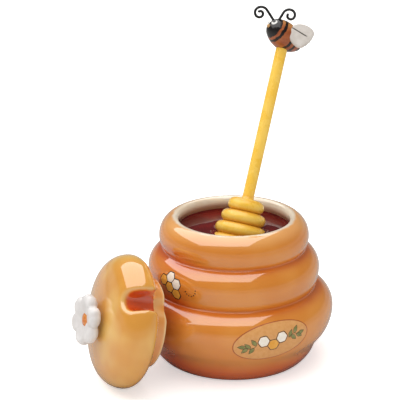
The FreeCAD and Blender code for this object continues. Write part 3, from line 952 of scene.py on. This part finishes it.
def bee_wing(side):
    """Wing of lobes fanned from the fore to the hind one in one skin, with a line cut in its outer face."""
    grids = []
    for length, width, angle in np.linspace(fore_lobe, hind_lobe, wing_lobes):
        lobe = pad(length / 2, width / 2, wing_thickness, wing_rounding)
        grids.append(moved(lobe, turn(angle, "Z") @ shift(length / 2, 0, 0)))
    mesh = fused(grids, wing_voxel, wing_smoothing)
    points = points_of(mesh)
    angle = math.radians(wing_line_angle)
    off_line = -points[:, 0] * math.sin(angle) + points[:, 1] * math.cos(angle)
    share = np.clip(1 - (off_line / wing_line_width) ** 2, 0, 1)
    share *= np.clip((fore_lobe[0] * 0.8 - points[:, 0]) / 1.5, 0, 1) * (side * points[:, 2] > 0)
    points[:, 2] -= side * wing_line_depth * share
    mark(mesh, "line", np.clip(1.6 * share - 0.3, 0, 1))
    sweep = math.radians(wing_sweep)
    out = Vector((-math.sin(sweep), side * math.cos(sweep), 0))
    up = Vector((0, 0, 1))
    frame_of_wing = Matrix((out, up, out.cross(up))).transposed().to_4x4()
    root = shift(wing_root[0], side * wing_root[1], wing_root[2])
    set_points(mesh, moved(points, bee_matrix() @ root @ frame_of_wing))
    return mesh


def curl(stalk, first_radius, quarters, side):
    """Path in the XY plane: a straight stalk up Y, then quarter circles of shrinking radius."""
    points = [np.stack([np.zeros(12), np.linspace(0, stalk, 12)], 1)]
    spot, heading, radius = np.array([0.0, stalk]), np.array([0.0, 1.0]), first_radius
    for _ in range(quarters):
        inwards = np.array([side * heading[1], -side * heading[0]])
        angle = np.linspace(0, math.pi / 2, 18)[1:, None]
        centre = spot + inwards * radius
        points.append(centre - inwards * radius * np.cos(angle) + heading * radius * np.sin(angle))
        spot, heading, radius = centre + heading * radius, inwards, radius * curl_shrink
    return np.concatenate(points)


def tube(path, radius, steps=20):
    """Round wire along a flat path: a circle in the plane of its normal and Z, with domed ends."""
    heading = np.gradient(path, axis=0)
    heading /= np.linalg.norm(heading, axis=1)[:, None]
    dome = np.linspace(0, math.pi / 2, 7)
    centres = np.concatenate([path[:1] - heading[:1] * radius * np.cos(dome[:-1])[:, None], path,
                              path[-1:] + heading[-1:] * radius * np.sin(dome)[1:, None]])
    sizes = radius * np.concatenate([np.sin(dome[:-1]), np.ones(len(path)), np.cos(dome)[1:]])
    heading = np.pad(heading, ((6, 6), (0, 0)), "edge")
    across = np.stack([heading[:, 1], -heading[:, 0]], 1)
    angle = np.linspace(0, math.tau, steps, endpoint=False)
    flat = centres[:, None] + across[:, None] * (sizes[:, None] * np.cos(angle))[..., None]
    lift = sizes[:, None] * np.sin(angle)
    return np.concatenate([flat, lift[..., None]], 2)


def bee_feeler(side, stalk, angle, first_radius, quarters):
    """Wire feeler with a curled end, standing on the head."""
    wire = tube(curl(stalk, first_radius, quarters, side), feeler_radius)
    root = head_spot(side * feeler_root_spread, feeler_root_lift, bee_head_radius - feeler_radius)
    turning = turn(feeler_facing, "Z") @ turn(90 - feeler_tip, "Y") @ turn(90 + angle, "Z")
    return mesh_of("feeler", [moved(wire, bee_matrix() @ shift(*root) @ turning)])


# ---- lid

def dome_line(radius, height, shoulder):
    """Section of a dome over the rim's widest line: a tight shoulder arc that runs into a wide crown arc."""
    rise = height - lid_rim_rounding
    inset = radius - shoulder
    crown = (radius * radius - 2 * radius * shoulder + rise * rise) / (2 * (rise - shoulder))
    joint = math.atan2(crown - rise, inset)
    low = np.linspace(0, joint, 40)
    high = np.linspace(joint, math.pi / 2, 60)
    side = np.stack([inset + shoulder * np.cos(low), lid_rim_rounding + shoulder * np.sin(low)], 1)
    cap = np.stack([crown * np.cos(high), height - crown + crown * np.sin(high)], 1)
    return run(side, cap)


def channel(half):
    """Closed slot with a round end, from the rim inwards, leaning out: an outline carried up and down."""
    reach = lid_height + flange_depth
    angle = np.linspace(math.pi / 2, 1.5 * math.pi, 40)
    outline = np.stack([half * np.cos(angle), half * np.sin(angle)], 1)
    outline = np.concatenate([outline, [[lid_radius, -half], [lid_radius, half]]])
    middle = np.repeat([[lid_radius / 2, 0.0]], len(outline), 0)
    grid = np.stack([np.column_stack([ring, np.full(len(ring), height)]) for ring, height in
                     ((middle, -reach), (outline, -reach), (outline, reach), (middle, reach))])
    return moved(grid, shift(notch_end, 0, 0) @ turn(notch_slant, "Y"))


def lid_forms():
    """Closed forms that make the lid: its outer form, its room, the wall kept round the notch and the notch."""
    corner = flange_radius - flange_rounding
    shoulder = lid_radius - lid_rim_rounding
    flange_bend = (flange_radius - 0.3 * flange_rounding, 0.3 * flange_rounding - flange_depth)
    outer = run((0, -flange_depth), (corner, -flange_depth),
                arc((corner, -flange_depth), flange_bend, (flange_radius, flange_rounding - flange_depth), 8),
                (flange_radius, 0), (shoulder, 0),
                quarter((shoulder, lid_rim_rounding), lid_rim_rounding, -lid_rim_rounding)[::-1],
                dome_line(lid_radius, lid_height, lid_shoulder))
    room = lid_radius - lid_wall
    inner = run((0, -flange_depth - 1), (opening_radius, -flange_depth - 1), (opening_radius, 0),
                (room, lid_rim_rounding), dome_line(room, lid_height - lid_wall, lid_shoulder - lid_wall))
    return {"outer": turned(evened(outer, 0.6), 256), "inner": turned(evened(inner, 0.8), 192),
            "cheek": channel(notch_width / 2 + lid_wall), "slot": channel(notch_width / 2)}


def lid():
    """The lid: outer form less its room and its notch, remeshed and smoothed to round the lips over."""
    helpers = {name: placed(name, mesh_of(name, [grid])) for name, grid in lid_forms().items()}
    less = {name: ("BOOLEAN", {"operation": "DIFFERENCE", "solver": "EXACT", "object": helper})
            for name, helper in helpers.items()}
    helpers["inner"].data = worked(helpers["inner"].data, [less["cheek"]])
    whole = worked(helpers["outer"].data, [
        less["inner"],
        less["slot"],
        ("REMESH", {"mode": "VOXEL", "voxel_size": lid_voxel * MM}),
        ("SMOOTH", {"factor": 0.5, "iterations": lid_smoothing}),
    ])
    for helper in helpers.values():
        bpy.data.objects.remove(helper)
    points = points_of(whole)
    slant = math.radians(notch_slant)
    ahead = (points[:, 0] - notch_end) * math.cos(slant) - points[:, 2] * math.sin(slant)
    from_wall = np.where(ahead > 0, np.abs(points[:, 1]), np.hypot(ahead, points[:, 1])) - notch_width / 2
    radius = np.hypot(points[:, 0], points[:, 1])
    height = points[:, 2]
    depth = depth_in_lid(points)
    corner = corner_share * bell(np.hypot(radius - flange_radius, height), corner_reach)
    soften(whole, np.maximum(np.clip(1 - from_wall / lip_reach, 0, 1), corner), lip_rounds)
    # Painted shade on the notch's walls and, lighter, under the flange, in the glaze's red pool colour
    notch_shade = eased(1.5 - from_wall / 0.6) * eased((depth - 0.8) / 3.0)
    mark(whole, "pool", np.maximum(notch_shade, 0.45 * eased((0.8 - height) / 1.6)))
    # Pale thin glaze and a painted highlight on the notch's lips and along the flange's edge
    lip = 0.25 * bell(from_wall - 0.4, 1.2) * eased((2.0 - depth) / 1.4)
    edge = 0.9 * bell(height + flange_depth - 0.5, 0.8) * (radius > flange_radius - 1.6)
    mark(whole, "thin", np.maximum(lip, edge))
    under_flange = (radius < opening_radius + 0.4) & (height < 0)
    in_room = (depth > lid_wall * 0.6) & (height > 0.3)
    mark(whole, "lining", (under_flange | in_room) & (from_wall > 1.0))
    return whole


def depth_in_lid(points):
    """How far points lie under the lid's outer skin, going sideways or up, whichever is less."""
    radius = np.hypot(points[:, 0], points[:, 1])
    line = dome_line(lid_radius, lid_height, lid_shoulder)
    outer = np.interp(points[:, 2], line[:, 1], line[:, 0])
    outer = np.where(points[:, 2] < 0, flange_radius, outer)
    top = np.interp(radius, line[::-1, 0], line[::-1, 1])
    return np.minimum(outer - radius, top - points[:, 2])


def lid_matrix(mesh):
    """Place of the lid: its notch spun round, its dome tipped over and faced outwards, and then moved so that
    its box's low corner meets the CAD lid's."""
    turning = turn(lid_facing, "Z") @ turn(90 - lid_lean, "Y") @ turn(lid_spin, "Z")
    low = moved(points_of(mesh), turning).min(0)
    return shift(*(np.array(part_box("lid")[0]) / MM - low)) @ turning


def flower_matrix():
    """The flower's slight tilt about the top of the dome."""
    angle = math.radians(flower_tilt_axis)
    tilt = turn(flower_tilt, Vector((math.cos(angle), math.sin(angle), 0)))
    return shift(0, 0, lid_height) @ tilt @ shift(0, 0, -lid_height)


def petal_form():
    """A petal along X: a flattened pad with a shallow dip in its tip, lower near the heart than at the rim."""
    pad_radius = petal_radius * petal_breadth
    out = flower_radius - pad_radius
    points = pad(pad_radius, pad_radius, petal_thickness, petal_rounding) + [out, 0, 0]
    tip = eased((points[..., 0] - out) / pad_radius)
    points[..., 0] -= tip_dip * tip * bell(points[..., 1], tip_dip_width)
    start, span = petal_slope
    rise = eased((np.hypot(points[..., 0], points[..., 1]) - start) / span)
    points[..., 2] *= np.where(points[..., 2] > 0, petal_low + (1 - petal_low) * rise, 1.0)
    return points


def flower():
    """Six petals round a thinner heart on a short stem, in one skin."""
    height = lid_height + knob_stem_length + petal_thickness / 2
    heart = pad(heart_radius, heart_radius, heart_thickness, heart_rounding)
    grids = [heart + [0, 0, height + heart_rise - heart_thickness / 2]]
    for index in range(petal_count):
        turning = turn(flower_turn + index * 360 / petal_count, "Z")
        grids.append(moved(petal_form(), shift(0, 0, height) @ turning))
    grids = [moved(grid, flower_matrix()) for grid in grids]
    foot = lid_height - 1.5
    stem = run((0, foot), (stem_radius, foot), (stem_radius, height), (0, height))
    grids.append(turned(evened(stem, 0.4), 64))
    return fused(grids, flower_voxel, flower_smoothing)


def flower_centre():
    """Low round button on the flower's heart."""
    top = lid_height + knob_stem_length + petal_thickness / 2 + heart_rise
    size = (centre_radius ** 2 + centre_rise ** 2) / (2 * centre_rise)
    angle = np.linspace(0, math.asin(centre_radius / size), 24)
    cap = np.stack([size * np.sin(angle), top + centre_rise - size * (1 - np.cos(angle))], 1)
    line = run(cap, (centre_radius - 0.3, top - 0.4), (0, top - 0.4))
    return mesh_of("centre", [moved(turned(line, 64), flower_matrix())])


# ---- studio

def white_floor():
    """Pale studio floor: it keeps the shadow of the set, and is greyer in reflections than to the camera."""
    material, tree = finish("studio_floor", Roughness=0.6, Emission_Color=linear("#FFFFFF"))
    mirrored = add(tree, "LightPath", output="Is Glossy Ray")
    shades = {FIRST: linear("#F4F3F1"), SECOND: linear("#A8A6A3")}
    paper = add(tree, "Mix", {"Factor": mirrored, **shades}, **MIX)
    dress(material, paper)
    seen = add(tree, "LightPath", output="Is Camera Ray")
    glow = add(tree, "Math", {0: seen, 1: floor_glow}, operation="MULTIPLY")
    tree.links.new(glow, tree.nodes["Principled BSDF"].inputs["Emission Strength"])
    mesh = bpy.data.meshes.new("floor")
    half, low = floor_width / 2, cad_bounds[0][2]
    mesh.from_pydata([(-half, -half, low), (half, -half, low), (half, half, low), (-half, half, low)], [],
                     [(0, 1, 2, 3)])
    mesh.materials.append(material)
    placed("studio_floor", mesh)


def softbox():
    """Rectangular lamp over the set, facing down; its power follows from how bright its face is."""
    lamp = bpy.data.lights.new("overhead", "AREA")
    lamp.shape = "RECTANGLE"
    lamp.size, lamp.size_y = lamp_width, lamp_length
    lamp.energy = lamp_radiance * math.pi * lamp_width * lamp_length
    placed("overhead", lamp).location = lamp_place


def world():
    """Even grey room light: reflections see a pale horizon under a darker ceiling; the camera sees white."""
    room = bpy.data.worlds.new("room")
    room.use_nodes = True
    bpy.context.scene.world = room
    tree = room.node_tree
    height = add(tree, "SeparateXYZ", {0: add(tree, "TexCoord", output="Object")}, "Z")
    steep = add(tree, "Math", {0: height}, operation="ABSOLUTE")
    ends = {"From Min": 0.03, "From Max": 0.25, "To Min": horizon_light, "To Max": ceiling_light}
    mirrored = add(tree, "MapRange", {"Value": steep, **ends}, **EASED)
    glossy = add(tree, "LightPath", output="Is Glossy Ray")
    plain = add(tree, "MapRange", {"Value": glossy, "To Min": room_light, "To Max": mirrored})
    seen = add(tree, "LightPath", output="Is Camera Ray")
    strength = add(tree, "Math", {0: seen, 1: plain}, operation="MAXIMUM")
    backdrop = tree.nodes["Background"]
    backdrop.inputs["Color"].default_value = linear("#FFFFFF")
    tree.links.new(strength, backdrop.inputs["Strength"])


def camera():
    """Camera a little above the pot, looking down on it from the front."""
    lens = bpy.data.cameras.new("camera")
    lens.sensor_width = 36
    lens.lens = camera_lens
    eye = placed("camera", lens)
    eye.location = Vector(camera_place) * MM
    eye.rotation_euler = (Vector(camera_target) * MM - eye.location).to_track_quat("-Z", "Y").to_euler()
    bpy.context.scene.camera = eye


def build():
    """Every piece of the set with its finish."""
    show(pot(), "pot_glazed", amber_glaze("amber_glaze", "#DD862C", "#E39138"), "honey_pot")
    colours = {"field": ("#D99A5A", "#E0A566"), "border": ("#A5522C", "#B5602F"),
               "line": ("#2E1C14", "#3D271B"), "cream": ("#F3E9D8", "#FAF3E6"),
               "amber": ("#E8A23A", "#F0B04C"), "leaf": ("#7C7F45", "#939257")}
    for kind, layouts in prints().items():
        paint = plain_enamel("print_" + kind, *colours[kind], (0.12, 0.2), 2, 0.01)
        show(mesh_of(kind, layouts, closed=False), "print_" + kind, paint)
    show(honey(), "honey_fill", dark_honey(), "honey")
    show(dipper(), "dipper_enamelled", yellow_glaze(), "honey_dipper", 60)
    show(bee_body(), "bee_painted", bee_enamel(), "bee_body")
    eye = eye_enamel()
    wing = wing_enamel()
    wire = plain_enamel("black_wire", "#0B0A0A", "#171414", (0.3, 0.42), 1.5, 0.01)
    for side, name, feeler in ((1, "left", left_feeler), (-1, "right", right_feeler)):
        show(bee_eye(side), "eye_" + name, eye, "bee_eye_" + name)
        show(bee_wing(side), "wing_" + name, wing, "bee_wing_" + name)
        show(bee_feeler(side, *feeler), "feeler_" + name, wire, "bee_feeler_" + name)
    nose = plain_enamel("nose_enamel", "#B98A55", "#CDA06A", (0.25, 0.35), 1.5, 0.01)
    show(bee_nose(), "nose_ball", nose, "bee_nose")
    lid_mesh = lid()
    place = lid_matrix(lid_mesh)
    thin_glaze = amber_glaze("amber_glaze_thin", "#E09A3C", "#EDBA5E")
    show(carried(lid_mesh, place), "lid_glazed", thin_glaze, "lid")
    bisque = plain_enamel("white_bisque_glaze", "#DAD5D2", "#E6E2E0", (0.3, 0.42), 6, 0.04)
    show(carried(flower(), place), "flower_white", bisque, "flower_knob")
    button = plain_enamel("orange_button_glaze", "#D2762E", "#E0924A", (0.2, 0.3), 3, 0.03)
    show(carried(flower_centre(), place), "flower_button", button, "knob_centre", 50)


bpy.context.scene.view_settings.view_transform = "Standard"
build()
white_floor()
world()
softbox()
camera()
